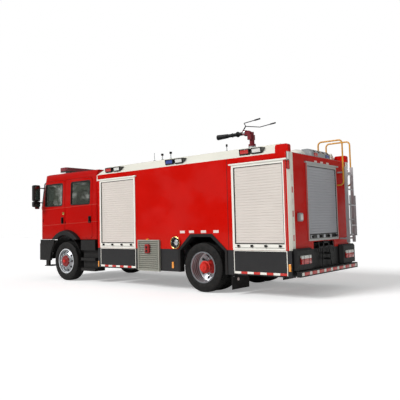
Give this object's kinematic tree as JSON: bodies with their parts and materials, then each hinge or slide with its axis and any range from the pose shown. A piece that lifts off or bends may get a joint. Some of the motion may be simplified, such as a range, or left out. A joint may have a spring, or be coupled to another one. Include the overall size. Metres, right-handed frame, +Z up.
{
  "type": "fire engine",
  "caption": "Four-wheeled fire engine with a tilting crew cab, a locker body with roller shutters, fold-down steps, a rear ladder and a roof water monitor.",
  "frame": {"origin": "on the ground, at the middle of the vehicle's length and width", "axes": "+X to the rear, +Y to the vehicle's right, +Z up"},
  "size_m": [8.073, 2.87, 3.4643],
  "materials": {
    "red_paint": "gloss",
    "white_paint": "gloss",
    "grey_panel": "satin",
    "black_plastic": "matt",
    "black_steel": "satin",
    "slat_metal": "satin",
    "aluminium": "satin",
    "louvre_metal": "brushed",
    "chrome": "polished",
    "rim_metal": "polished",
    "tyre": "matt",
    "glass": "clear",
    "lens": "gloss",
    "seat_cloth": "woven",
    "yellow_paint": "gloss",
    "monitor_red": "gloss",
    "mirror_shell": "satin"
  },
  "bodies": {
    "chassis": {"chassis_frame": "black_steel", "tanks_and_bottles": "aluminium", "front_axle": "black_steel", "rear_axle": "black_steel", "powertrain": "black_steel", "front_bumper": "black_plastic", "cab_steps": "black_plastic", "body_shell": "red_paint", "shutters": "slat_metal", "shutter_frames": "white_paint", "skirts": "grey_panel", "wheel_guards": "black_plastic", "louvred_guards": "louvre_metal", "hose_inlets": "chrome", "roof_fairing": "white_paint", "lamps": "lens", "roof_fittings": "aluminium", "corner_posts": "white_paint", "rear_bumper": "black_steel", "rear_ladder": "aluminium", "handrails": "yellow_paint"},
    "cab": {"cab_shell": "red_paint", "cab_glass": "glass", "cab_trim": "black_plastic", "seats": "seat_cloth", "dashboard": "black_plastic", "mirrors": "mirror_shell", "beacon_bar": "lens"},
    "fold_ladder": {"fold_ladder": "aluminium"},
    "monitor_swivel": {"monitor_swivel": "monitor_red"},
    "monitor_barrel": {"monitor_barrel": "black_steel"},
    "manhole_lid_1": {"manhole_lid_1": "aluminium"},
    "manhole_lid_2": {"manhole_lid_2": "aluminium"},
    "door_front_left": {"door_front_left": "red_paint", "door_glass_front_left": "glass"},
    "step_flap_front_left": {"step_flap_front_left": "grey_panel"},
    "door_rear_left": {"door_rear_left": "red_paint", "door_glass_rear_left": "glass"},
    "step_flap_rear_left": {"step_flap_rear_left": "grey_panel"},
    "knuckle_left": {"knuckle_left": "black_steel"},
    "wheel_front_left": {"tyre_front_left": "tyre", "rim_front_left": "rim_metal"},
    "wheel_rear_left": {"tyres_rear_left": "tyre", "rims_rear_left": "rim_metal"},
    "door_front_right": {"door_front_right": "red_paint", "door_glass_front_right": "glass"},
    "step_flap_front_right": {"step_flap_front_right": "grey_panel"},
    "door_rear_right": {"door_rear_right": "red_paint", "door_glass_rear_right": "glass"},
    "step_flap_rear_right": {"step_flap_rear_right": "grey_panel"},
    "knuckle_right": {"knuckle_right": "black_steel"},
    "wheel_front_right": {"tyre_front_right": "tyre", "rim_front_right": "rim_metal"},
    "wheel_rear_right": {"tyres_rear_right": "tyre", "rims_rear_right": "rim_metal"}
  },
  "joints": [
    {"name": "cab_tilt", "type": "hinge", "parent": "chassis", "child": "cab", "pos_m": [-3.92, 0, 0.93], "axis": [0, -1, 0], "range_deg": [0, 50]},
    {"name": "door_front_left_hinge", "type": "hinge", "parent": "cab", "child": "door_front_left", "pos_m": [-3.79, -1.15, 1.6], "axis": [0, 0, -1], "range_deg": [0, 70]},
    {"name": "step_flap_front_left_hinge", "type": "hinge", "parent": "chassis", "child": "step_flap_front_left", "pos_m": [-0.6965, -1.241, 0.393], "axis": [1, 0, 0], "range_deg": [0, 90]},
    {"name": "door_rear_left_hinge", "type": "hinge", "parent": "cab", "child": "door_rear_left", "pos_m": [-2.812, -1.15, 1.6], "axis": [0, 0, -1], "range_deg": [0, 70]},
    {"name": "step_flap_rear_left_hinge", "type": "hinge", "parent": "chassis", "child": "step_flap_rear_left", "pos_m": [3.112, -1.241, 0.393], "axis": [1, 0, 0], "range_deg": [0, 90]},
    {"name": "steer_left", "type": "hinge", "parent": "chassis", "child": "knuckle_left", "pos_m": [-2.75, -0.815, 0.49], "axis": [0, 0, 1], "range_deg": [-35, 35]},
    {"name": "wheel_front_left_spin", "type": "hinge", "parent": "knuckle_left", "child": "wheel_front_left", "pos_m": [-2.75, -1.052, 0.49], "axis": [0, 1, 0], "continuous": true},
    {"name": "wheel_rear_left_spin", "type": "hinge", "parent": "chassis", "child": "wheel_rear_left", "pos_m": [1.75, -0.91, 0.49], "axis": [0, 1, 0], "continuous": true},
    {"name": "door_front_right_hinge", "type": "hinge", "parent": "cab", "child": "door_front_right", "pos_m": [-3.79, 1.15, 1.6], "axis": [0, 0, 1], "range_deg": [0, 70]},
    {"name": "step_flap_front_right_hinge", "type": "hinge", "parent": "chassis", "child": "step_flap_front_right", "pos_m": [-0.6965, 1.241, 0.393], "axis": [-1, 0, 0], "range_deg": [0, 90]},
    {"name": "door_rear_right_hinge", "type": "hinge", "parent": "cab", "child": "door_rear_right", "pos_m": [-2.812, 1.15, 1.6], "axis": [0, 0, 1], "range_deg": [0, 70]},
    {"name": "step_flap_rear_right_hinge", "type": "hinge", "parent": "chassis", "child": "step_flap_rear_right", "pos_m": [3.112, 1.241, 0.393], "axis": [-1, 0, 0], "range_deg": [0, 90]},
    {"name": "steer_right", "type": "hinge", "parent": "chassis", "child": "knuckle_right", "pos_m": [-2.75, 0.815, 0.49], "axis": [0, 0, 1], "range_deg": [-35, 35]},
    {"name": "wheel_front_right_spin", "type": "hinge", "parent": "knuckle_right", "child": "wheel_front_right", "pos_m": [-2.75, 1.052, 0.49], "axis": [0, 1, 0], "continuous": true},
    {"name": "wheel_rear_right_spin", "type": "hinge", "parent": "chassis", "child": "wheel_rear_right", "pos_m": [1.75, 0.91, 0.49], "axis": [0, 1, 0], "continuous": true},
    {"name": "ladder_fold", "type": "hinge", "parent": "chassis", "child": "fold_ladder", "pos_m": [3.996, 0.838, 1.052], "axis": [0, 1, 0], "range_deg": [0, 165]},
    {"name": "monitor_turn", "type": "hinge", "parent": "chassis", "child": "monitor_swivel", "pos_m": [2.2, 0, 2.96], "axis": [0, 0, 1], "continuous": true},
    {"name": "monitor_tilt", "type": "hinge", "parent": "monitor_swivel", "child": "monitor_barrel", "pos_m": [2.05, 0, 3.262], "axis": [0, 1, 0], "range_deg": [-20, 60]},
    {"name": "manhole_lid_1_hinge", "type": "hinge", "parent": "chassis", "child": "manhole_lid_1", "pos_m": [0.478, 0, 2.641], "axis": [0, 1, 0], "range_deg": [0, 100]},
    {"name": "manhole_lid_2_hinge", "type": "hinge", "parent": "chassis", "child": "manhole_lid_2", "pos_m": [1.148, 0, 2.641], "axis": [0, 1, 0], "range_deg": [0, 100]}
  ],
  "couplings": [
    {"joint": "steer_right", "follows": "steer_left", "ratio": 1}
  ]
}
